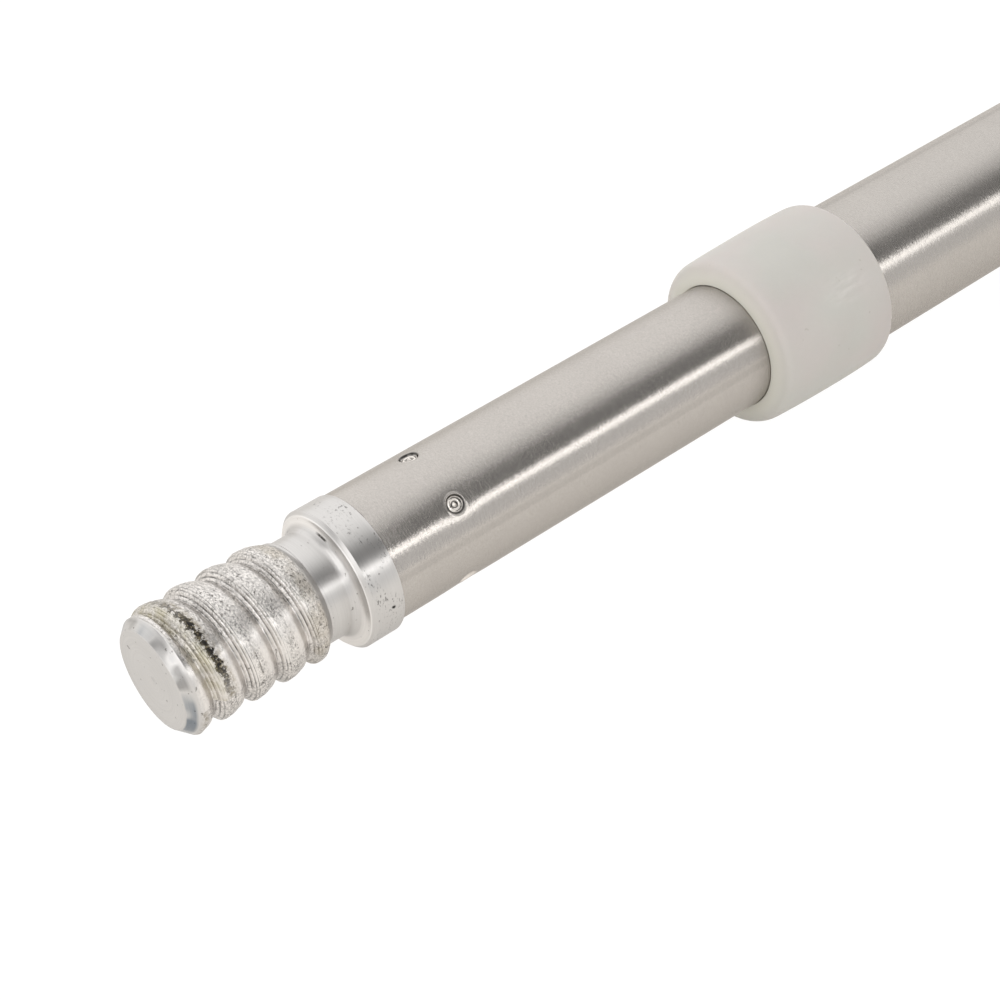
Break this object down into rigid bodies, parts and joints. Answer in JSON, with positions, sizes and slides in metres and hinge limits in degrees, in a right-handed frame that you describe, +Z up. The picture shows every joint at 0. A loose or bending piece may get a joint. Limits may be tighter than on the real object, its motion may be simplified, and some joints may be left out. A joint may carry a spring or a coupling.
{
  "type": "telescopic roller extension pole",
  "caption": "Telescopic pole for paint rollers: turned thread tip, brushed steel tubes, plain collar, twist lock inside, ribbed grip and hanging eye.",
  "frame": {"origin": "centre of the ferrule's shoulder face, where a roller frame's socket stops", "axes": "+X along the pole, from the thread tip towards the hand grip; +Z up, through the hanging eye's hole"},
  "size_m": [0.7739, 0.028, 0.028],
  "materials": {
    "aluminium": "turned, fine tool marks",
    "stainless": "brushed round the tube",
    "white_plastic": "smooth moulded, off-white",
    "nylon": "natural moulded nylon",
    "zinc_steel": "zinc plated",
    "rubber": "moulded black rubber"
  },
  "bodies": {
    "outer": {"outer_tube": "stainless", "guide_collar": "white_plastic", "grip_sleeve": "white_plastic", "end_cap": "white_plastic", "end_buffer": "rubber"},
    "glide": {"glide_ring": "nylon"},
    "inner": {"inner_tube": "stainless", "thread_ferrule": "aluminium", "lock_plug": "nylon", "cam_washer": "zinc_steel", "cam_screw": "zinc_steel"},
    "cam": {"lock_cam": "nylon"}
  },
  "joints": [
    {"name": "extend", "type": "slide", "parent": "outer", "child": "glide", "axis": [-1, 0, 0], "range_m": [0, 0.547]},
    {"name": "twist", "type": "hinge", "parent": "glide", "child": "inner", "pos_m": [0.6705, 0, 0], "axis": [1, 0, 0], "range_deg": [-75, 75]},
    {"name": "cam_swing", "type": "hinge", "parent": "inner", "child": "cam", "pos_m": [0.6855, 0, 0.0008], "axis": [1, 0, 0], "range_deg": [-75, 75]}
  ],
  "couplings": [
    {"joint": "cam_swing", "follows": "twist", "ratio": -1}
  ]
}
